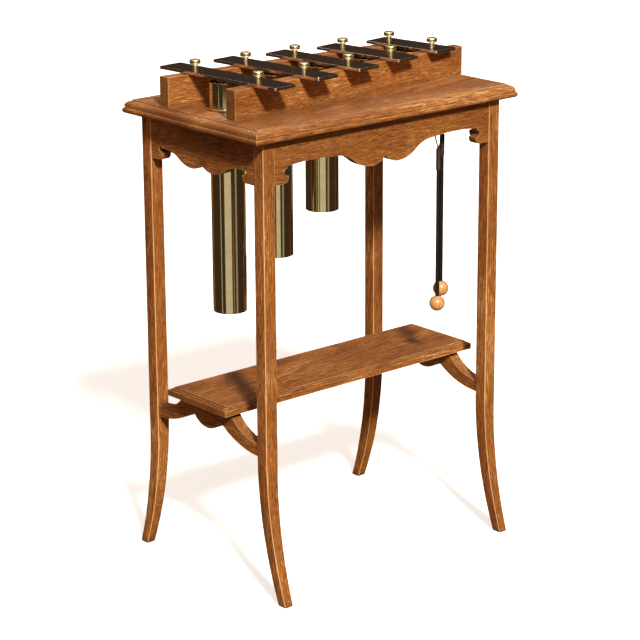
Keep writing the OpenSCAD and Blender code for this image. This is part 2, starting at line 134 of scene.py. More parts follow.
def new_material(name):
    """A material with an empty tree that ends in one Principled shader."""
    material = bpy.data.materials.new(name)
    material.use_nodes = True
    tree = material.node_tree
    tree.nodes.clear()
    shader = tree.nodes.new("ShaderNodeBsdfPrincipled")
    add(tree, "ShaderNodeOutputMaterial", {"Surface": shader.outputs[0]})
    return material, tree, shader


def finish_piece(name, mesh, body, material, replaced=()):
    """Makes the object of a finished mesh, rides it on its body and hides what it stands for."""
    piece = bpy.data.objects.new(name, mesh)
    bpy.context.scene.collection.objects.link(piece)
    mesh.materials.clear()
    mesh.materials.append(material)
    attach(piece, body)
    if replaced:
        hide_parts(*replaced)
    return piece


def grid_mesh(name, points, close_u=False, close_v=True, cap=None):
    """A mesh from a grid of points [u, v, xyz]. Each cell is one face. close_u and close_v join the
    last row or column to the first. cap fans the first and last rows into their own middles."""
    rows, cols = points.shape[:2]
    index = np.arange(rows * cols).reshape(rows, cols)
    u = np.arange(rows if close_u else rows - 1)
    v = np.arange(cols if close_v else cols - 1)
    a = index[u][:, v]
    b = index[(u + 1) % rows][:, v]
    c = index[(u + 1) % rows][:, (v + 1) % cols]
    d = index[u][:, (v + 1) % cols]
    faces = np.stack([a, d, c, b], axis=-1).reshape(-1, 4).tolist()
    verts = points.reshape(-1, 3)
    if cap:
        start, end = len(verts), len(verts) + 1
        verts = np.vstack([verts, points[0].mean(axis=0), points[-1].mean(axis=0)])
        nxt = np.roll(np.arange(cols), -1)
        faces += np.stack([index[0][nxt], index[0], np.full(cols, start)], axis=-1).tolist()
        faces += np.stack([index[-1], index[-1][nxt], np.full(cols, end)], axis=-1).tolist()
    mesh = bpy.data.meshes.new(name)
    mesh.from_pydata(verts.tolist(), [], faces)
    mesh.polygons.foreach_set("use_smooth", np.ones(len(faces), bool))
    return mesh


def outward(mesh, sharp=None):
    """Merges doubles, turns every face outwards and marks edges sharper than an angle as sharp."""
    bm = bmesh.new()
    bm.from_mesh(mesh)
    bmesh.ops.remove_doubles(bm, verts=bm.verts, dist=2e-6)
    bmesh.ops.recalc_face_normals(bm, faces=bm.faces)
    bm.to_mesh(mesh)
    bm.free()
    if sharp is not None:
        mesh.set_sharp_from_angle(angle=sharp)
    return mesh


def rounded(points, radius, steps=5):
    """A profile with its inner corners rounded. Each corner becomes a quadratic curve that starts
    and ends radius away from it, or half way along a shorter side."""
    out = [points[0]]
    for before, corner, after in zip(points, points[1:], points[2:]):
        before, corner, after = map(np.array, (before, corner, after))
        back, ahead = before - corner, after - corner
        reach_a = min(radius / np.linalg.norm(back), 0.5)
        reach_b = min(radius / np.linalg.norm(ahead), 0.5)
        t = np.linspace(0, 1, steps)[:, None]
        start, end = corner + back * reach_a, corner + ahead * reach_b
        out.extend(((1 - t) ** 2 * start + 2 * t * (1 - t) * corner + t * t * end).tolist())
    out.append(points[-1])
    return np.array(out, float)


def lathe(name, profile, centre, turns=96, closed=False):
    """A body of revolution: the point (r, z) of the profile goes round the upright line through
    centre as (r cos a, r sin a, z). closed joins the profile's end to its start, as on a ring."""
    angle = np.linspace(0, 2 * math.pi, turns, endpoint=False)
    r, z = profile[:, 0][:, None], profile[:, 1][:, None]
    points = np.stack([
        centre[0] + r * np.cos(angle), centre[1] + r * np.sin(angle),
        np.broadcast_to(centre[2] + z, (len(profile), turns))], axis=-1)
    mesh = grid_mesh(name, points, close_u=closed)
    return outward(mesh, CRISP)


def middle(node):
    """Centre of a node's box, with its lowest and highest corners."""
    lo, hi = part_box(node)
    return (lo + hi) / 2, lo, hi


def islands(node, gap):
    """Boxes of the solids in a node that stand apart along X by more than gap, from left to right."""
    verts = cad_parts[node].data.vertices
    co = np.empty(len(verts) * 3)
    verts.foreach_get("co", co)
    co = co.reshape(-1, 3)
    co = co[np.argsort(co[:, 0])]
    cuts = np.flatnonzero(np.diff(co[:, 0]) > gap) + 1
    return [(part.min(axis=0), part.max(axis=0)) for part in np.split(co, cuts)]


def softened(node, body, material, width):
    """A copy of a CAD node with every crisp edge eased to a small round, as sanding leaves it.
    The copy's triangles are merged and flat ones joined before a bevel runs along the edges."""
    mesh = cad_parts[node].data.copy()
    mesh.name = "eased_" + node
    bm = bmesh.new()
    bm.from_mesh(mesh)
    bmesh.ops.remove_doubles(bm, verts=bm.verts, dist=1e-6)
    bmesh.ops.dissolve_limit(
        bm, angle_limit=math.radians(0.5), verts=bm.verts, edges=bm.edges, delimit=set())
    bm.to_mesh(mesh)
    bm.free()
    if mesh.attributes.get("custom_normal"):
        mesh.attributes.remove(mesh.attributes["custom_normal"])
    mesh.polygons.foreach_set("use_smooth", np.ones(len(mesh.polygons), bool))
    piece = finish_piece("eased_" + node, mesh, body, material, [node])
    bevel = piece.modifiers.new("Eased edges", "BEVEL")
    bevel.width = width
    bevel.segments = 3
    bevel.limit_method = "ANGLE"
    bevel.angle_limit = math.radians(35)
    bevel.harden_normals = True
    return piece


# ---- Settings ----

class OakSettings(bpy.types.PropertyGroup):
    """Colours and figure of the waxed oak."""

    deep: StringProperty(name="Deep", description="Colour of the open pores and dark ring lines",
                         default="#30160a")
    mid: StringProperty(name="Middle", description="Main colour of the stained wood", default="#874c1d")
    pale: StringProperty(name="Pale", description="Colour of the dense late wood", default="#a86b30")
    worn: StringProperty(name="Worn", description="Colour of rubbed arrises and ray flecks",
                         default="#efb87c")
    ring: FloatProperty(name="Ring gap", description="Distance between growth rings", default=3.4 * MM,
                        unit="LENGTH", precision=4)
    pore: FloatProperty(name="Pore length", description="Length of an open pore", default=9 * MM,
                        unit="LENGTH", precision=4)
    roughness: FloatProperty(name="Roughness", description="Roughness of the waxed surface", default=0.42,
                             subtype="FACTOR", min=0, max=1)
    arris: FloatProperty(name="Arris", description="Radius of the eased arrises", default=0.8 * MM,
                         unit="LENGTH", precision=4)


class LegSettings(bpy.types.PropertyGroup):
    """Shape of the sabre legs that their boxes can't say."""

    curve_height: FloatProperty(name="Curve height", default=0.240, unit="LENGTH",
                                description="Height at which the leg starts to curve")
    foot_width: FloatProperty(name="Foot width", description="Width of the foot along X", default=17 * MM,
                              unit="LENGTH")
    foot_depth: FloatProperty(name="Foot depth", description="Depth of the foot along Y", default=18 * MM,
                              unit="LENGTH")
    arris: FloatProperty(name="Arris", description="Radius of the leg's worn arrises", default=1.4 * MM,
                         unit="LENGTH", precision=4)


class MetalSettings(bpy.types.PropertyGroup):
    """Colours and wear of the metals."""

    brass: StringProperty(name="Brass", description="Colour of polished brass", default="#e6d5a2")
    brass_old: StringProperty(name="Toned brass", description="Colour of brass with a light patina",
                              default="#9a8352")
    bar: StringProperty(name="Bar", description="Colour of the plated bars", default="#ebe0d4")
    screw: StringProperty(name="Screw", description="Colour of the steel screws", default="#7d7a75")
    wall: FloatProperty(name="Tube wall", description="Wall of the resonators", default=1.4 * MM,
                        unit="LENGTH", precision=4)
    rim: FloatProperty(name="Rim", description="Round on the tube rims", default=0.45 * MM,
                       unit="LENGTH", precision=4)
    bar_arris: FloatProperty(name="Bar arris", description="Round on the bars' edges", default=0.5 * MM,
                             unit="LENGTH", precision=4)


class BeaterSettings(bpy.types.PropertyGroup):
    """Shape and finish of the beaters."""

    ball: StringProperty(name="Ball", description="Colour of turned boxwood", default="#d9a467")
    stick: StringProperty(name="Stick", description="Colour of ebonised wood", default="#17110e")
    thong: StringProperty(name="Thong", description="Colour of the leather", default="#2a1206")
    thong_width: FloatProperty(name="Thong width", description="Width of the leather thong",
                               default=2.4 * MM, unit="LENGTH", precision=4)
    turn_pitch: FloatProperty(name="Lashing pitch", description="Distance between turns of the lashing",
                              default=2.3 * MM, unit="LENGTH", precision=4)
    turn_rise: FloatProperty(name="Lashing rise", description="Height of a turn over the stick",
                             default=1.0 * MM, unit="LENGTH", precision=4)


class StageSettings(bpy.types.PropertyGroup):
    """Camera, lights, room and floor."""

    azimuth: FloatProperty(name="Azimuth", description="Camera's angle round the stand",
                           default=math.radians(-40.81), subtype="ANGLE")
    elevation: FloatProperty(name="Elevation", description="Camera's angle above the level",
                             default=math.radians(16.96), subtype="ANGLE")
    roll: FloatProperty(name="Roll", description="Camera's turn about its own axis",
                        default=math.radians(-0.3), subtype="ANGLE")
    distance: FloatProperty(name="Distance", description="From the aim point to the camera",
                            default=4.02, unit="LENGTH")
    lens: FloatProperty(name="Lens", description="Focal length in millimetres", default=131.4)
    aim: FloatVectorProperty(name="Aim", description="Aim point from the middle of the stand's box",
                             default=(-0.011, -0.003, -0.033), subtype="TRANSLATION")
    key: FloatProperty(name="Key", description="Strength of the main light", default=4.4)
    fill: FloatProperty(name="Fill", description="Strength of the soft overhead light", default=0.55)
    floor: StringProperty(name="Floor", description="Colour of the floor", default="#ffffff")
    room: StringProperty(name="Room", description="Colour of the unlit room", default="#46382e")
    room_light: FloatProperty(name="Room light", description="Strength of the unlit room", default=0.78)
    floor_size: FloatProperty(name="Floor size", description="Half the side of the floor", default=40,
                              unit="LENGTH")


# ---- Finishes ----

def oak(settings, name, grain, seed, tone=1.0):
    """Fumed and waxed oak, planed and rubbed: brown with darker porous ring lines, pale ray
    flecks, rubbed pale arrises, painted shade that darkens the closed-in corners, and a soft low gloss.

    Grain names the axis along which the fibres run, seed moves the board in its log."""
    material, tree, shader = new_material("waxed_oak_" + name)
    place = add(tree, "ShaderNodeTexCoord", out="Object")
    parts = add(tree, "ShaderNodeSeparateXYZ", {0: place}).node.outputs
    order = {"X": (0, 1, 2), "Y": (1, 0, 2), "Z": (2, 0, 1)}[grain]
    board = add(tree, "ShaderNodeCombineXYZ", {k: parts[order[k]] for k in range(3)})
    # each board is moved to its own place in the log, far enough for its figure to differ
    board = add(tree, "ShaderNodeMapping", {
        "Vector": board, "Location": (seed * 1.7, seed * 0.31, seed * 0.17)})

    # slow wander of the fibres, a few millimetres over 160 mm of length
    wander = add(tree, "ShaderNodeTexNoise", {
        "Vector": add(tree, "ShaderNodeMapping", {"Vector": board, "Scale": (6, 22, 22)}),
        "Scale": 1, "Detail": 2}, out="Color")
    wander = add(tree, "ShaderNodeVectorMath", {0: wander, 1: (0.5, 0.5, 0.5)}, operation="SUBTRACT")
    bent = add(tree, "ShaderNodeVectorMath", {0: wander, 1: (0.01,) * 3, 2: board},
               operation="MULTIPLY_ADD")

    # rings: distance from a pith that leans along the board, counted in ring gaps
    pith = add(tree, "ShaderNodeMapping", {
        "Vector": bent, "Location": (0, -seed * 0.31 - 0.045, -seed * 0.17 - 0.085),
        "Rotation": (0, 0.02, -0.025), "Scale": (0.0, 1, 1)})
    across = add(tree, "ShaderNodeVectorMath", {0: pith}, out="Value", operation="LENGTH")
    slope = add(tree, "ShaderNodeSeparateXYZ", {0: bent})
    across = add(tree, "ShaderNodeMath", {0: slope, 1: 0.03, 2: across}, operation="MULTIPLY_ADD")
    count = add(tree, "ShaderNodeMath", {0: across, 1: 1 / settings.ring}, operation="MULTIPLY")
    ring = add(tree, "ShaderNodeMath", {0: count}, operation="FRACT")
    early = add(tree, "ShaderNodeValToRGB", {0: ring}, stops=[
        (0.0, 0.6), (0.12, 1.0), (0.4, 0.3), (0.7, 0.0), (1.0, 0.6)])

    # open pores: dashes one millimetre wide, drawn three times coarser than real so that they show
    pore_step = 1 / settings.pore
    pores = add(tree, "ShaderNodeTexNoise", {
        "Vector": add(tree, "ShaderNodeMapping", {"Vector": bent, "Scale": (pore_step, 900, 900)}),
        "Scale": 1, "Detail": 2, "Roughness": 0.6})
    pores = add(tree, "ShaderNodeValToRGB", {0: pores}, stops=[(0.52, 0.0), (0.66, 1.0)])
    weight = add(tree, "ShaderNodeMath", {0: early, 1: 0.75, 2: 0.25}, operation="MULTIPLY_ADD")
    pores = add(tree, "ShaderNodeMath", {0: pores, 1: weight}, operation="MULTIPLY")

    # fibres: fine streaks about 2 mm wide and 25 mm long
    fibres = add(tree, "ShaderNodeTexNoise", {
        "Vector": add(tree, "ShaderNodeMapping", {"Vector": bent, "Scale": (40, 480, 480)}),
        "Scale": 1, "Detail": 4, "Roughness": 0.7})
    # broad tone of the stain, patches of 60 mm across and 250 mm along
    broad = add(tree, "ShaderNodeTexNoise", {
        "Vector": add(tree, "ShaderNodeMapping", {"Vector": board, "Scale": (4, 16, 16)}),
        "Scale": 1, "Detail": 2})
    # ray flecks: pale lens shapes about 14 mm long, 4 mm wide and 11 mm deep
    flecks = add(tree, "ShaderNodeTexNoise", {
        "Vector": add(tree, "ShaderNodeMapping", {
            "Vector": board, "Rotation": (0, 0, 0.2), "Scale": (70, 240, 90)}),
        "Scale": 1, "Detail": 2, "Roughness": 0.5, "Distortion": 0.6})
    flecks = add(tree, "ShaderNodeValToRGB", {0: flecks}, stops=[(0.60, 0.0), (0.70, 1.0)])

    value = add(tree, "ShaderNodeMath", {0: fibres, 1: 1.5, 2: -0.48}, operation="MULTIPLY_ADD")
    value = add(tree, "ShaderNodeMath", {0: broad, 1: 0.7, 2: value}, operation="MULTIPLY_ADD")
    value = add(tree, "ShaderNodeMath", {0: early, 1: -0.11, 2: value}, operation="MULTIPLY_ADD")
    value = add(tree, "ShaderNodeMath", {0: pores, 1: -0.6, 2: value}, operation="MULTIPLY_ADD")
    value = add(tree, "ShaderNodeMath", {0: flecks, 1: 0.07, 2: value}, operation="MULTIPLY_ADD")
    colour = add(tree, "ShaderNodeValToRGB", {0: value}, stops=[
        (0.0, settings.deep), (0.42, settings.mid), (0.72, settings.pale), (1.0, settings.worn)])

    # rubbed arrises: where a normal rounded over 2.2 mm leaves the true one, or where the mesh says so
    soft = add(tree, "ShaderNodeBevel", {"Radius": 2.2 * MM}, samples=4)
    hard = add(tree, "ShaderNodeNewGeometry", out="Normal")
    facing = add(tree, "ShaderNodeVectorMath", {0: soft, 1: hard}, out="Value", operation="DOT_PRODUCT")
    edge = add(tree, "ShaderNodeValToRGB", {0: facing}, stops=[(0.80, 1.0), (0.985, 0.0)])
    marked = add(tree, "ShaderNodeAttribute", out="Fac", attribute_name="arris")
    edge = add(tree, "ShaderNodeMath", {0: edge, 1: marked}, operation="MAXIMUM")
    patchy = add(tree, "ShaderNodeValToRGB", {0: broad}, stops=[(0.30, 0.4), (0.60, 1.0)])
    edge = add(tree, "ShaderNodeMath", {0: edge, 1: patchy}, operation="MULTIPLY")
    # painted shade: the colour darkens where a 12 mm reach is closed in, and the rubbed arrises fade
    # there
    shade = add(tree, "ShaderNodeAmbientOcclusion", {"Distance": 12 * MM}, out="AO", samples=8)
    painted_recess_shade = add(tree, "ShaderNodeValToRGB", {0: shade}, stops=[(0.25, 0.45), (0.85, 1.0)])
    edge = add(tree, "ShaderNodeMath", {0: edge, 1: painted_recess_shade}, operation="MULTIPLY")
    colour = add(tree, "ShaderNodeMix", {0: edge, MIX_A: colour, MIX_B: linear(settings.worn)}, out=MIXED,
                 data_type="RGBA")
    # end grain drinks more stain: where the surface faces along the fibres
    facing = add(tree, "ShaderNodeTexCoord", out="Normal")
    facing = add(tree, "ShaderNodeSeparateXYZ", {0: facing}, out=order[0])
    facing = add(tree, "ShaderNodeMath", {0: facing}, operation="ABSOLUTE")
    ends = add(tree, "ShaderNodeValToRGB", {0: facing}, stops=[(0.75, 1.0), (0.95, 0.68)])
    # painted shade in the closed-in places, the piece's tone and the end grain darken the colour
    dark = add(tree, "ShaderNodeMath", {0: painted_recess_shade, 1: tone}, operation="MULTIPLY")
    dark = add(tree, "ShaderNodeMath", {0: dark, 1: ends}, operation="MULTIPLY")
    colour = add(tree, "ShaderNodeVectorMath", {0: colour, 1: dark}, operation="MULTIPLY")

    gloss = add(tree, "ShaderNodeMath", {0: pores, 1: 0.2, 2: settings.roughness},
                operation="MULTIPLY_ADD")
    gloss = add(tree, "ShaderNodeMath", {0: fibres, 1: 0.1, 2: gloss}, operation="MULTIPLY_ADD")
    depth = add(tree, "ShaderNodeMath", {0: fibres, 1: 0.35}, operation="MULTIPLY")
    depth = add(tree, "ShaderNodeMath", {0: depth, 1: pores}, operation="SUBTRACT")
    bump = add(tree, "ShaderNodeBump", {"Strength": 0.5, "Distance": 0.25 * MM, "Height": depth})
    fill(shader, {"Base Color": colour, "Roughness": gloss, "IOR": 1.5, "Normal": bump})
    return material


def polished_brass(settings, name, roughness, patina):
    """Lacquered brass, spun and buffed: a warm mirror, with a thin brown patina in its corners
    and faint buffing rings that break the highlights."""
    material, tree, shader = new_material("polished_brass_" + name)
    place = add(tree, "ShaderNodeTexCoord", out="Object")
    # buffing rings 1.4 mm apart round an upright piece, drawn coarse enough to show
    rings = add(tree, "ShaderNodeTexNoise", {
        "Vector": add(tree, "ShaderNodeMapping", {"Vector": place, "Scale": (12, 12, 700)}),
        "Scale": 1, "Detail": 2})
    # cloudy patina, 20 mm patches
    cloud = add(tree, "ShaderNodeTexNoise", {"Vector": place, "Scale": 50, "Detail": 4, "Roughness": 0.6})
    shade = add(tree, "ShaderNodeAmbientOcclusion", {"Distance": 5 * MM}, out="AO", samples=6)
    closed = add(tree, "ShaderNodeValToRGB", {0: shade}, stops=[(0.15, 1.0), (0.75, 0.0)])
    cloud = add(tree, "ShaderNodeValToRGB", {0: cloud}, stops=[(0.42, 0.0), (0.75, 1.0)])
    cover = add(tree, "ShaderNodeMath", {0: cloud, 1: patina}, operation="MULTIPLY")
    cover = add(tree, "ShaderNodeMath", {0: closed, 1: 0.55, 2: cover}, operation="MULTIPLY_ADD",
                use_clamp=True)
    colour = add(tree, "ShaderNodeMix", {
        0: cover, MIX_A: linear(settings.brass), MIX_B: linear(settings.brass_old)},
        out=MIXED, data_type="RGBA")
    rough = add(tree, "ShaderNodeMath", {0: rings, 1: 0.05, 2: roughness}, operation="MULTIPLY_ADD")
    rough = add(tree, "ShaderNodeMath", {0: cover, 1: 0.2, 2: rough}, operation="MULTIPLY_ADD")
    bump = add(tree, "ShaderNodeBump", {"Strength": 0.06, "Distance": 0.1 * MM, "Height": rings})
    fill(shader, {"Base Color": colour, "Metallic": 1, "Roughness": rough, "Normal": bump})
    return material


def plated_bar(settings, name, seed):
    """Nickel-plated steel, ground and mirror polished: it shows the room almost like glass, with
    long faint grinding lines and a brownish bloom of wear that is a little duller."""
    material, tree, shader = new_material("plated_steel_" + name)
    place = add(tree, "ShaderNodeTexCoord", out="Object")
    turned = add(tree, "ShaderNodeMapping", {
        "Vector": place, "Location": (seed, seed, 0), "Rotation": (0, 0, -0.11)})
    # grinding lines along the bar, 1.5 mm apart, drawn coarse enough to show
    lines = add(tree, "ShaderNodeTexNoise", {
        "Vector": add(tree, "ShaderNodeMapping", {"Vector": turned, "Scale": (650, 9, 650)}),
        "Scale": 1, "Detail": 3, "Roughness": 0.6})
    # bloom of age in 30 mm patches
    bloom = add(tree, "ShaderNodeTexNoise", {
        "Vector": turned, "Scale": 34, "Detail": 5, "Roughness": 0.62})
    bloom = add(tree, "ShaderNodeValToRGB", {0: bloom}, stops=[(0.40, 0.0), (0.72, 1.0)])
    colour = add(tree, "ShaderNodeMix", {
        0: add(tree, "ShaderNodeMath", {0: bloom, 1: 0.35}, operation="MULTIPLY"),
        MIX_A: linear(settings.bar), MIX_B: linear(BLOOM)}, out=MIXED, data_type="RGBA")
    rough = add(tree, "ShaderNodeMath", {0: bloom, 1: 0.07, 2: 0.05}, operation="MULTIPLY_ADD")
    rough = add(tree, "ShaderNodeMath", {0: lines, 1: 0.04, 2: rough}, operation="MULTIPLY_ADD")
    bump = add(tree, "ShaderNodeBump", {"Strength": 0.08, "Distance": 0.1 * MM, "Height": lines})
    fill(shader, {"Base Color": colour, "Metallic": 1, "Roughness": rough, "Normal": bump})
    return material


def screw_steel(settings):
    """Old wood screw of mild steel, turned: dull grey with brown rust in the slot and round the head."""
    material, tree, shader = new_material("turned_mild_steel")
    place = add(tree, "ShaderNodeTexCoord", out="Object")
    spots = add(tree, "ShaderNodeTexNoise", {
        "Vector": place, "Scale": 420, "Detail": 4, "Roughness": 0.7})
    spots = add(tree, "ShaderNodeValToRGB", {0: spots}, stops=[(0.45, 0.0), (0.68, 1.0)])
    colour = add(tree, "ShaderNodeMix", {0: spots, MIX_A: linear(settings.screw), MIX_B: linear(RUST)},
                 out=MIXED, data_type="RGBA")
    metal = add(tree, "ShaderNodeMath", {0: spots, 1: -0.8, 2: 1.0}, operation="MULTIPLY_ADD")
    rough = add(tree, "ShaderNodeMath", {0: spots, 1: 0.4, 2: 0.35}, operation="MULTIPLY_ADD")
    bump = add(tree, "ShaderNodeBump", {"Strength": 0.4, "Distance": 0.1 * MM, "Height": spots})
    fill(shader, {"Base Color": colour, "Metallic": metal, "Roughness": rough, "Normal": bump})
    return material


def felt_washer():
    """Pressed wool felt: matt green-brown with a nap of tangled fibres and a soft pale sheen."""
    material, tree, shader = new_material("pressed_wool_felt")
    place = add(tree, "ShaderNodeTexCoord", out="Object")
    nap = add(tree, "ShaderNodeTexNoise", {
        "Vector": place, "Scale": 1500, "Detail": 5, "Roughness": 0.75, "Distortion": 1.2})
    colour = add(tree, "ShaderNodeValToRGB", {0: nap}, stops=[
        (0.3, "#2c3020"), (0.55, "#4a4f34"), (0.8, "#6b6d4c")])
    bump = add(tree, "ShaderNodeBump", {"Strength": 0.8, "Distance": 0.3 * MM, "Height": nap})
    fill(shader, {"Base Color": colour, "Roughness": 0.95, "Sheen Weight": 0.6, "Normal": bump})
    return material


def waxed_leather(settings):
    """Cowhide thong, cut and waxed: dark brown, finely pebbled, with paler rubbed folds."""
    material, tree, shader = new_material("waxed_cowhide")
    place = add(tree, "ShaderNodeTexCoord", out="Object")
    pebble = add(tree, "ShaderNodeTexVoronoi", {"Vector": place, "Scale": 1600},
                 feature="DISTANCE_TO_EDGE")
    pebble = add(tree, "ShaderNodeValToRGB", {0: pebble}, stops=[(0.0, 0.0), (0.25, 1.0)])
    patch = add(tree, "ShaderNodeTexNoise", {
        "Vector": place, "Scale": 160, "Detail": 4, "Roughness": 0.6})
    colour = add(tree, "ShaderNodeMix", {
        0: add(tree, "ShaderNodeValToRGB", {0: patch}, stops=[
            (0.4, 0.0), (0.75, 1.0)]), MIX_A: linear(settings.thong), MIX_B: linear(RUBBED_HIDE)},
        out=MIXED, data_type="RGBA")
    crease = add(tree, "ShaderNodeMath", {0: pebble, 1: 0.4, 2: 0.6}, operation="MULTIPLY_ADD")
    colour = add(tree, "ShaderNodeVectorMath", {0: colour, 1: crease}, operation="MULTIPLY")
    rough = add(tree, "ShaderNodeMath", {0: patch, 1: 0.25, 2: 0.38}, operation="MULTIPLY_ADD")
    bump = add(tree, "ShaderNodeBump", {"Strength": 0.5, "Distance": 0.12 * MM, "Height": pebble})
    fill(shader, {"Base Color": colour, "Roughness": rough, "Normal": bump})
    return material


def ebonised(settings):
    """Hardwood stick, turned, dyed black and oiled: near black with faint brown streaks along it
    and a narrow satin highlight."""
    material, tree, shader = new_material("ebonised_hardwood")
    place = add(tree, "ShaderNodeTexCoord", out="Object")
    streak = add(tree, "ShaderNodeTexNoise", {
        "Vector": add(tree, "ShaderNodeMapping", {"Vector": place, "Scale": (700, 700, 25)}),
        "Scale": 1, "Detail": 4, "Roughness": 0.65})
    colour = add(tree, "ShaderNodeValToRGB", {0: streak}, stops=[
        (0.35, "#0c0807"), (0.6, settings.stick), (0.85, "#2a1c14")])
    rough = add(tree, "ShaderNodeMath", {0: streak, 1: 0.25, 2: 0.25}, operation="MULTIPLY_ADD")
    bump = add(tree, "ShaderNodeBump", {"Strength": 0.3, "Distance": 0.1 * MM, "Height": streak})
    fill(shader, {"Base Color": colour, "Roughness": rough, "Normal": bump})
    return material


def boxwood(settings):
    """Boxwood ball, turned and polished: honey yellow, very fine even grain with soft darker
    rings, a few small bruises from use and a clear soft highlight."""
    material, tree, shader = new_material("turned_boxwood")
    place = add(tree, "ShaderNodeTexCoord", out="Object")
    bands = add(tree, "ShaderNodeTexNoise", {
        "Vector": add(tree, "ShaderNodeMapping", {"Vector": place, "Scale": (260, 900, 120)}),
        "Scale": 1, "Detail": 4, "Roughness": 0.6})
    marks = add(tree, "ShaderNodeTexNoise", {"Vector": place, "Scale": 230, "Detail": 3})
    marks = add(tree, "ShaderNodeValToRGB", {0: marks}, stops=[(0.63, 0.0), (0.72, 1.0)])
    colour = add(tree, "ShaderNodeValToRGB", {0: bands}, stops=[
        (0.3, "#c08445"), (0.55, settings.ball), (0.8, "#efc88c")])
    colour = add(tree, "ShaderNodeMix", {
        0: add(tree, "ShaderNodeMath", {0: marks, 1: 0.35}, operation="MULTIPLY"),
        MIX_A: colour, MIX_B: linear(BRUISE)}, out=MIXED, data_type="RGBA")
    rough = add(tree, "ShaderNodeMath", {0: marks, 1: 0.2, 2: 0.26}, operation="MULTIPLY_ADD")
    bump = add(tree, "ShaderNodeBump", {"Strength": 0.15, "Distance": 0.1 * MM, "Height": bands})
    fill(shader, {"Base Color": colour, "Roughness": rough, "Coat Weight": 0.3, "Coat Roughness": 0.15,
                  "Normal": bump})
    return material


# ---- Pieces ----

class CHIME_OT_legs(bpy.types.Operator):
    """Four square legs, straight above and swept outwards below, with worn arrises."""

    bl_idname = "chime.legs"
    bl_label = "Legs"

    def execute(self, context):
        oak_set, shape = context.scene.chime_oak, context.scene.chime_legs
        for k, (end, side) in enumerate((e, s) for e in ("front", "back") for s in ("left", "right")):
            name = f"leg_{end}_{side}"
            mesh = leg_mesh(name, shape)
            material = oak(oak_set, name, "Z", 1.3 + 0.9 * k, tone=1.05)
            finish_piece("sabre_" + name, mesh, "stand", material, [name])
        return {"FINISHED"}


def leg_mesh(name, shape):
    """A loft of rounded rectangles. Above the curve height both faces are straight. Below it each
    face is an arc that starts upright and ends at the foot: face + R - sqrt(R^2 - drop^2), where
    R is the radius of the arc through its two ends. The width narrows in a straight line."""
    centre, lo, hi = middle(name)
    away = 1 if centre.y > 0 else -1
    inner, outer = sorted((abs(lo.y), abs(hi.y)))
    width = hi.x - lo.x
    straight = inner + width
    top, curve = hi.z, shape.curve_height
    eased = 1.2 * MM
    z = np.concatenate([
        np.linspace(0, eased, 4), np.linspace(3 * MM, curve, 60), np.linspace(curve, top, 50)[1:]])
    drop = np.clip(curve - z, 0, None)

    def sweep(face, reach):
        radius = (curve ** 2 + reach ** 2) / (2 * reach)
        return face + radius - np.sqrt(radius ** 2 - drop ** 2)

    y_out = sweep(straight, outer - straight)
    y_in = sweep(inner, outer - shape.foot_depth - inner)
    half = width / 2 - (width - shape.foot_width) / 2 * drop / curve
    # the foot's lowest edge is eased by pulling its first rings inwards
    pull = np.clip(eased - z, 0, None) * 0.9
    y_mid, half_y = (y_out + y_in) / 2, (y_out - y_in) / 2 - pull
    half_x = half - pull
    steps = 5
    turn = np.linspace(0, math.pi / 2, steps)
    corner = np.concatenate([turn + q * math.pi / 2 for q in range(4)])
    sign_x = np.repeat([1, -1, -1, 1], steps)
    sign_y = np.repeat([1, 1, -1, -1], steps)
    radius = shape.arris
    x = sign_x * (half_x[:, None] - radius) + radius * np.cos(corner)
    y = sign_y * (half_y[:, None] - radius) + radius * np.sin(corner)
    points = np.stack([
        centre.x + x, away * (y_mid[:, None] + y), np.broadcast_to(z[:, None], x.shape)], axis=-1)
    mesh = grid_mesh(name + "_mesh", points, cap=True)
    # 1 in the middle of each arris and 0 on the flats
    band = np.tile(np.sin(np.linspace(0, math.pi, steps)), 4)
    worn = np.concatenate([np.tile(band, len(z)), [0, 0]])
    attribute = mesh.attributes.new("arris", "FLOAT", "POINT")
    attribute.data.foreach_set("value", worn.astype(np.float32))
    return outward(mesh, CRISP)


class CHIME_OT_boards(bpy.types.Operator):
    """Top, aprons, shelf, stretchers and rails, with eased edges."""

    bl_idname = "chime.boards"
    bl_label = "Boards"

    def execute(self, context):
        oak_set = context.scene.chime_oak
        boards = {
            "table_top": ("X", 0.4, 1.0), "apron_front": ("X", 2.1, 0.95), "apron_back": ("X", 2.9, 0.95),
            "apron_left": ("Y", 3.3, 0.92), "apron_right": ("Y", 3.8, 0.92), "shelf": ("X", 5.2, 1.0),
            "stretcher_left": ("Y", 6.1, 0.95), "stretcher_right": ("Y", 6.7, 0.95),
            "rail_front": ("X", 7.5, 1.0), "rail_rear": ("X", 8.2, 1.0),
        }
        for name, (grain, seed, tone) in boards.items():
            material = oak(oak_set, name, grain, seed, tone)
            softened(name, "stand", material, oak_set.arris)
        return {"FINISHED"}


class CHIME_OT_bars(bpy.types.Operator):
    """Five mirror-polished bars with eased edges."""

    bl_idname = "chime.bars"
    bl_label = "Bars"

    def execute(self, context):
        metal = context.scene.chime_metal
        for k in BARS:
            name = f"bar_{k}"
            softened(name, name, plated_bar(metal, name, 0.37 * k), metal.bar_arris)
        return {"FINISHED"}


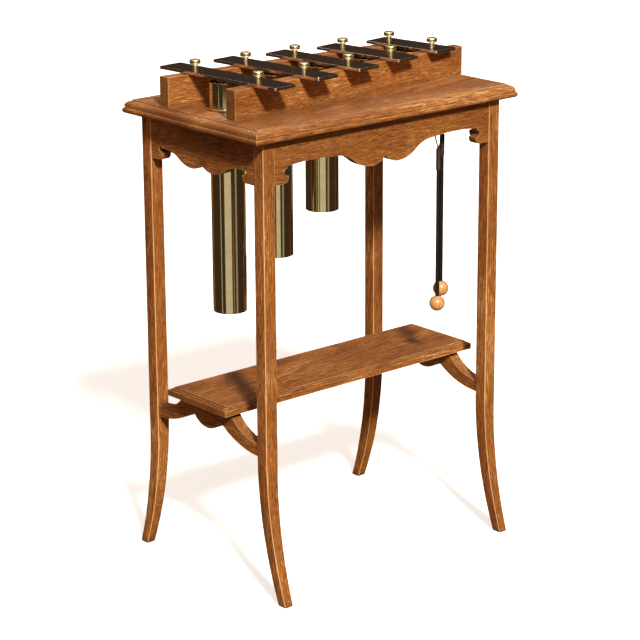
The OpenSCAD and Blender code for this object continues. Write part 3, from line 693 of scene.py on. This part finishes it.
class CHIME_OT_resonators(bpy.types.Operator):
    """Five brass tubes with rounded rims and the collars that they pass through."""

    bl_idname = "chime.resonators"
    bl_label = "Resonators"

    def execute(self, context):
        metal = context.scene.chime_metal
        tube_finish = polished_brass(metal, "tube", 0.07, 0.25)
        collar_finish = polished_brass(metal, "collar", 0.10, 0.3)
        for k in BARS:
            tube_centre, lo, hi = middle(f"resonator_{k}")
            r_out = (hi.x - lo.x) / 2
            r_in = r_out - metal.wall
            height = hi.z - lo.z
            corners = [(r_in, height / 2), (r_in, height), (r_out, height), (r_out, height / 2),
                       (r_out, 0), (r_in, 0), (r_in, height / 2)]
            profile = rounded(corners, metal.rim)[:-1]
            base = (tube_centre.x, tube_centre.y, lo.z)
            mesh = lathe(f"tube_{k}_mesh", profile, base, turns=128, closed=True)
            finish_piece(f"brass_tube_{k}", mesh, "stand", tube_finish, [f"resonator_{k}"])

            centre, lo, hi = middle(f"collar_{k}")
            c_out, c_in, rise = (hi.x - lo.x) / 2, r_out + SNUG, hi.z - lo.z
            corners = [(c_in, rise / 2), (c_in, rise), (c_out, rise), (c_out, rise / 2), (c_out, 0),
                       (c_in, 0), (c_in, rise / 2)]
            profile = rounded(corners, rise / 2, steps=7)[:-1]
            mesh = lathe(f"collar_{k}_mesh", profile, (centre.x, centre.y, lo.z), turns=128, closed=True)
            finish_piece(f"brass_collar_{k}", mesh, "stand", collar_finish, [f"collar_{k}"])
        return {"FINISHED"}


class CHIME_OT_pins(bpy.types.Operator):
    """Ten turned brass pins: upright shank, trumpet neck and thick round-edged head."""

    bl_idname = "chime.pins"
    bl_label = "Bar pins"

    def execute(self, context):
        finish = polished_brass(context.scene.chime_metal, "pin", 0.26, 0.10)
        for end in ("front", "rear"):
            node = f"bar_pins_{end}"
            meshes = []
            # the pins' heads stand more than 20 mm apart
            for lo, hi in islands(node, 20 * MM):
                middle_x, middle_y = (lo[0] + hi[0]) / 2, (lo[1] + hi[1]) / 2
                head, top = (hi[0] - lo[0]) / 2, hi[2] - lo[2]
                meshes.append(lathe("pin", pin_profile(head, top), (middle_x, middle_y, lo[2]), turns=48))
            mesh = joined(f"{node}_mesh", meshes)
            finish_piece(f"turned_{node}", mesh, "stand", finish, [node])
        return {"FINISHED"}


def pin_profile(head, top):
    """Half section of a pin of the given head radius and height. The neck is a quarter circle that
    flares into the head. The head is a thick disc with well rounded edges and a slightly raised top."""
    shank, flare, thick, edge, crown = 4.2 * MM, 3.2 * MM, 7.6 * MM, 2.6 * MM, 0.7 * MM
    under = top - thick
    neck = under - flare
    t = np.linspace(0, math.pi / 2, 10)[:, None]
    trumpet = np.hstack([shank + flare - flare * np.cos(t), neck + flare * np.sin(t)])
    disc = rounded([(shank + flare, under), (head, under), (head, top - crown), (0, top)], edge, 7)
    foot = np.array([(0, 0), (shank, 0), (shank, neck)])
    return np.vstack([foot, trumpet[1:], disc[1:]])


def joined(name, meshes):
    """One mesh made of several, each kept as its own closed shell."""
    bm = bmesh.new()
    for mesh in meshes:
        bm.from_mesh(mesh)
        bpy.data.meshes.remove(mesh)
    result = bpy.data.meshes.new(name)
    bm.to_mesh(result)
    bm.free()
    result.set_sharp_from_angle(angle=CRISP)
    return result


class CHIME_OT_beaters(bpy.types.Operator):
    """Two beaters: turned ball, black stick, lashing and leather loop."""

    bl_idname = "chime.beaters"
    bl_label = "Beaters"

    def execute(self, context):
        shape = context.scene.chime_beaters
        ball_finish, stick_finish = boxwood(shape), ebonised(shape)
        leather = waxed_leather(shape)
        for k in BEATERS:
            body = f"beater_{k}"
            centre, lo, hi = middle(f"beater_ball_{k}")
            radius = (hi.x - lo.x) / 2
            ball_z = lo.z + radius
            stick_mid, stick_lo, stick_hi = middle(f"beater_stick_{k}")
            stick_r = (stick_hi.x - stick_lo.x) / 2

            # the ball is a circle turned about its upright axis, cut by the stick's hole
            start = math.asin((stick_r + SNUG) / radius)
            a = np.linspace(-math.pi / 2, math.pi / 2 - start, 56)
            shell = np.stack([radius * np.cos(a), radius * np.sin(a)], axis=-1)
            hole = np.array([(stick_r + SNUG, 0), (0, 0)])
            mesh = lathe(f"ball_{k}_mesh", np.vstack([shell, hole]), (centre.x, centre.y, ball_z))
            finish_piece(f"boxwood_ball_{k}", mesh, body, ball_finish, [f"beater_ball_{k}"])

            length = stick_hi.z - stick_lo.z
            corners = [(0, 0), (stick_r, 0), (stick_r, length), (0, length)]
            profile = rounded(corners, 0.8 * MM)
            mesh = lathe(f"stick_{k}_mesh", profile, (stick_mid.x, stick_mid.y, stick_lo.z), turns=40)
            finish_piece(f"ebonised_stick_{k}", mesh, body, stick_finish,
                         [f"beater_stick_{k}"])

            mesh = lashing_mesh(k, shape, stick_r)
            finish_piece(f"lashing_{k}", mesh, body, leather, [f"beater_binding_{k}"])
            mesh = thong_mesh(k, shape, stick_r)
            finish_piece(f"thong_{k}", mesh, body, leather, [f"beater_loop_{k}"])
        return {"FINISHED"}


def lashing_mesh(k, shape, stick_r):
    """Thong wound round the stick: the radius at height z and angle a is the stick's plus the rise
    times a round bump in the fraction of z / pitch - a / 2 pi, so that the bumps form a helix."""
    centre, lo, hi = middle(f"beater_binding_{k}")
    z = np.linspace(0, hi.z - lo.z, 220)[:, None]
    angle = np.linspace(0, 2 * math.pi, 48, endpoint=False)[None, :]
    part = (z / shape.turn_pitch - angle / (2 * math.pi)) % 1
    bump = np.sqrt(np.clip(1 - (2 * part - 1) ** 2, 0, 1))
    end = np.clip(np.minimum(z, hi.z - lo.z - z) / (0.6 * MM), 0, 1)
    r = stick_r + SNUG + shape.turn_rise * (0.35 + 0.65 * bump) * (0.4 + 0.6 * end)
    points = np.stack([
        centre.x + r * np.cos(angle), centre.y + r * np.sin(angle),
        np.broadcast_to(lo.z + z, r.shape)], axis=-1)
    mesh = grid_mesh(f"lashing_{k}_mesh", points, cap=True)
    return outward(mesh, THONG_CRISP)


def thong_mesh(k, shape, stick_r):
    """The hanging loop: a flat thong swept along a tall outline that runs almost straight to the
    knot, and the knot under it, a barrel with three round turns."""
    centre, lo, hi = middle(f"beater_loop_{k}")
    half, width, knot_rise = (hi.x - lo.x) / 2, shape.thong_width, 6 * MM
    knot_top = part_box(f"beater_stick_{k}")[1].z + knot_rise
    low, high = knot_top - 3 * MM, hi.z
    rise, mid = (high - low) / 2, (high + low) / 2
    reach = half - width / 2
    a = np.linspace(0, 2 * math.pi, 120, endpoint=False)
    # nearly a diamond: the half width falls with the height's share of the rise, to the power 1.3
    x = reach * np.sign(np.cos(a)) * (1 - np.abs(np.sin(a)) ** 1.3)
    z = (rise - width / 2) * np.sin(a)
    path = np.stack([x, z], axis=-1)
    for _ in range(3):
        path = (np.roll(path, 1, axis=0) + 2 * path + np.roll(path, -1, axis=0)) / 4
    tangent = np.roll(path, -1, axis=0) - np.roll(path, 1, axis=0)
    tangent /= np.linalg.norm(tangent, axis=1)[:, None]
    normal = np.stack([tangent[:, 1], -tangent[:, 0]], axis=-1)
    b = np.linspace(0, 2 * math.pi, 16, endpoint=False)
    # the section is a squarish round, 1.6 mm thick and as wide as the thong along Y
    thick = 0.8 * MM * np.sign(np.cos(b)) * np.abs(np.cos(b)) ** 0.7
    flat = width / 2 * np.sign(np.sin(b)) * np.abs(np.sin(b)) ** 0.7
    points = np.stack([
        centre.x + path[:, 0][:, None] + normal[:, 0][:, None] * thick,
        np.broadcast_to(centre.y + flat, (len(path), len(b))),
        mid + path[:, 1][:, None] + normal[:, 1][:, None] * thick], axis=-1)
    loop = outward(grid_mesh("loop", points, close_u=True), THONG_CRISP)
    s = np.linspace(0, 1, 40)
    barrel = (stick_r - 0.1 * MM) * (0.72 + 0.28 * np.abs(np.sin(s * math.pi * 3)) ** 0.5)
    barrel[[0, -1]] = 0
    profile = np.stack([barrel, s * knot_rise], axis=-1)
    knot = lathe("knot", profile, (centre.x, centre.y, knot_top - knot_rise), turns=32)
    return joined(f"thong_{k}_mesh", [loop, knot])


class CHIME_OT_fixings(bpy.types.Operator):
    """Finishes for glue blocks, screws, felts, hooks and tube ends, whose packed shapes stay."""

    bl_idname = "chime.fixings"
    bl_label = "Fixings"

    def execute(self, context):
        scene = context.scene
        metal = scene.chime_metal
        plain = {
            "glue_blocks": oak(scene.chime_oak, "glue_blocks", "X", 9.1, 0.8),
            "bar_felts": felt_washer(),
        }
        plain.update(dict.fromkeys(("top_screws", "shelf_screws", "rail_screws"), screw_steel(metal)))
        plain.update(dict.fromkeys(("hook_1", "hook_2"), polished_brass(metal, "hook", 0.16, 0.5)))
        stops = [f"resonator_stop_{k}" for k in BARS]
        plain.update(dict.fromkeys(stops, polished_brass(metal, "stop", 0.22, 0.8)))
        for name, material in plain.items():
            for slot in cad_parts[name].material_slots:
                slot.material = material
        return {"FINISHED"}


# ---- Stage ----

class CHIME_OT_stage(bpy.types.Operator):
    """Pale floor and room, sun-like key, soft fills, reflection panels and the camera."""

    bl_idname = "chime.stage"
    bl_label = "Stage"

    def execute(self, context):
        scene, stage = context.scene, context.scene.chime_stage
        lo, hi = CAD_BOX
        centre = (lo + hi) / 2
        add_camera(scene, stage, centre)
        add_floor(stage)
        add_room(scene, stage)
        scene.view_settings.view_transform = "Standard"
        add_light("Key", "SUN", stage.key, centre, KEY_SIDE, SUN_DISTANCE, angle=math.radians(7))
        add_light("Overhead fill", "SUN", stage.fill, centre, OVERHEAD, SUN_DISTANCE,
                  angle=math.radians(110))
        # weak warm light from the front left and the back, as a room's walls throw it
        for name, energy, direction in WALL_FILLS:
            wall = add_light(name, "SUN", energy, centre, direction, SUN_DISTANCE,
                             angle=math.radians(120))
            wall.data.color = linear(WALL_TINT)[:3]
            wall.visible_glossy = False
        # panels that only reflections see: a broad band and two lines along the tubes, one behind for
        # their outer edges, a high one for the pins, the collars and every round upper edge, and one
        # over the front for the gloss on the near wood
        for name, energy, direction, (wide, high) in PANELS:
            panel = add_light(name, "AREA", energy, centre, direction, PANEL_DISTANCE,
                              shape="RECTANGLE", size=wide, size_y=high)
            panel.visible_camera = panel.visible_diffuse = False
        return {"FINISHED"}


def add_room(scene, stage):
    """A dim brown room that lights the stand and shows in its metal. Seen directly it is a plain
    white wall, so that the background stays pale at every height of view."""
    scene.world = bpy.data.worlds.new("Unlit room")
    scene.world.use_nodes = True
    tree = scene.world.node_tree
    tree.nodes.clear()
    room = add(tree, "ShaderNodeBackground", {"Color": linear(stage.room), "Strength": stage.room_light})
    wall = add(tree, "ShaderNodeBackground", {"Color": linear(stage.floor)})
    seen = add(tree, "ShaderNodeLightPath")
    both = add(tree, "ShaderNodeMixShader", {0: seen, 1: room, 2: wall})
    add(tree, "ShaderNodeOutputWorld", {"Surface": both})


def add_camera(scene, stage, centre):
    """The camera looks at the aim point from the given angle and distance."""
    camera = bpy.data.cameras.new("Camera")
    camera.lens = stage.lens
    camera.sensor_width = 36
    camera.clip_end = 200
    a, e = stage.azimuth, stage.elevation
    back = Vector((math.sin(a) * math.cos(e), -math.cos(a) * math.cos(e), math.sin(e)))
    rig = bpy.data.objects.new("Camera", camera)
    rig.rotation_mode = "QUATERNION"
    look = (-back).to_track_quat("-Z", "Y").to_matrix().to_4x4() @ Matrix.Rotation(stage.roll, 4, "Z")
    rig.rotation_quaternion = look.to_quaternion()
    rig.location = centre + Vector(stage.aim) + back * stage.distance
    scene.collection.objects.link(rig)
    scene.camera = rig


def add_floor(stage):
    """A flat square of softly lit white board under the feet, hidden from every other surface so
    that they mirror the dark room and take no light from below."""
    side = stage.floor_size
    u = np.array([-side, side])
    x, y = np.meshgrid(u, u, indexing="ij")
    points = np.stack([x, y, np.zeros_like(x)], axis=-1)
    mesh = grid_mesh("floor_mesh", points, close_v=False)
    mesh.flip_normals()
    material, tree, shader = new_material("matt_painted_board")
    place = add(tree, "ShaderNodeTexCoord", out="Object")
    cloud = add(tree, "ShaderNodeTexNoise", {"Vector": place, "Scale": 3, "Detail": 3})
    colour = add(tree, "ShaderNodeMix", {
        0: cloud, MIX_A: linear(stage.floor), MIX_B: linear(FLOOR_CLOUD)}, out=MIXED, data_type="RGBA")
    fill(shader, {"Base Color": colour, "Emission Color": colour, "Emission Strength": 0.6,
                  "Roughness": 0.9})
    floor = bpy.data.objects.new("floor", mesh)
    mesh.materials.append(material)
    bpy.context.scene.collection.objects.link(floor)
    floor.visible_glossy = floor.visible_diffuse = False


def add_light(name, kind, energy, centre, direction, distance, **settings):
    """A light at distance from the centre in the given direction, facing the centre."""
    light = bpy.data.lights.new(name, kind)
    light.energy = energy
    light.color = linear(LAMP_TINT)[:3]
    for key, value in settings.items():
        setattr(light, key, value)
    lamp = bpy.data.objects.new(name, light)
    away = Vector(direction).normalized()
    lamp.location = centre + away * distance
    lamp.rotation_mode = "QUATERNION"
    lamp.rotation_quaternion = away.to_track_quat("Z", "Y")
    bpy.context.scene.collection.objects.link(lamp)
    return lamp


# ---- Panel and registration ----

class CHIME_PT_panel(bpy.types.Panel):
    """Lists the settings and the steps that build the stand."""

    bl_idname = "CHIME_PT_panel"
    bl_label = "Chime Stand"
    bl_space_type = "VIEW_3D"
    bl_region_type = "UI"
    bl_category = "Chime Stand"

    def draw(self, context):
        for name, group in SETTINGS.items():
            box = self.layout.box()
            box.label(text=group.__doc__)
            for field in group.__annotations__:
                box.prop(getattr(context.scene, name), field)
        for step in STEPS:
            self.layout.operator(step.bl_idname)


SETTINGS = {
    "chime_oak": OakSettings, "chime_legs": LegSettings, "chime_metal": MetalSettings,
    "chime_beaters": BeaterSettings, "chime_stage": StageSettings,
}
STEPS = [CHIME_OT_stage, CHIME_OT_legs, CHIME_OT_boards, CHIME_OT_bars, CHIME_OT_resonators,
         CHIME_OT_pins, CHIME_OT_beaters, CHIME_OT_fixings]


def register():
    """Registers the settings, the steps and the panel."""
    for group in (*SETTINGS.values(), *STEPS, CHIME_PT_panel):
        bpy.utils.register_class(group)
    for name, group in SETTINGS.items():
        setattr(bpy.types.Scene, name, PointerProperty(type=group))


def unregister():
    """Takes away what register added."""
    for name in SETTINGS:
        delattr(bpy.types.Scene, name)
    for group in (CHIME_PT_panel, *reversed(STEPS), *reversed(SETTINGS.values())):
        bpy.utils.unregister_class(group)


def main():
    """Builds everything in order."""
    register()
    for step in STEPS:
        area, name = step.bl_idname.split(".")
        getattr(getattr(bpy.ops, area), name)()


if __name__ == "__main__":
    main()
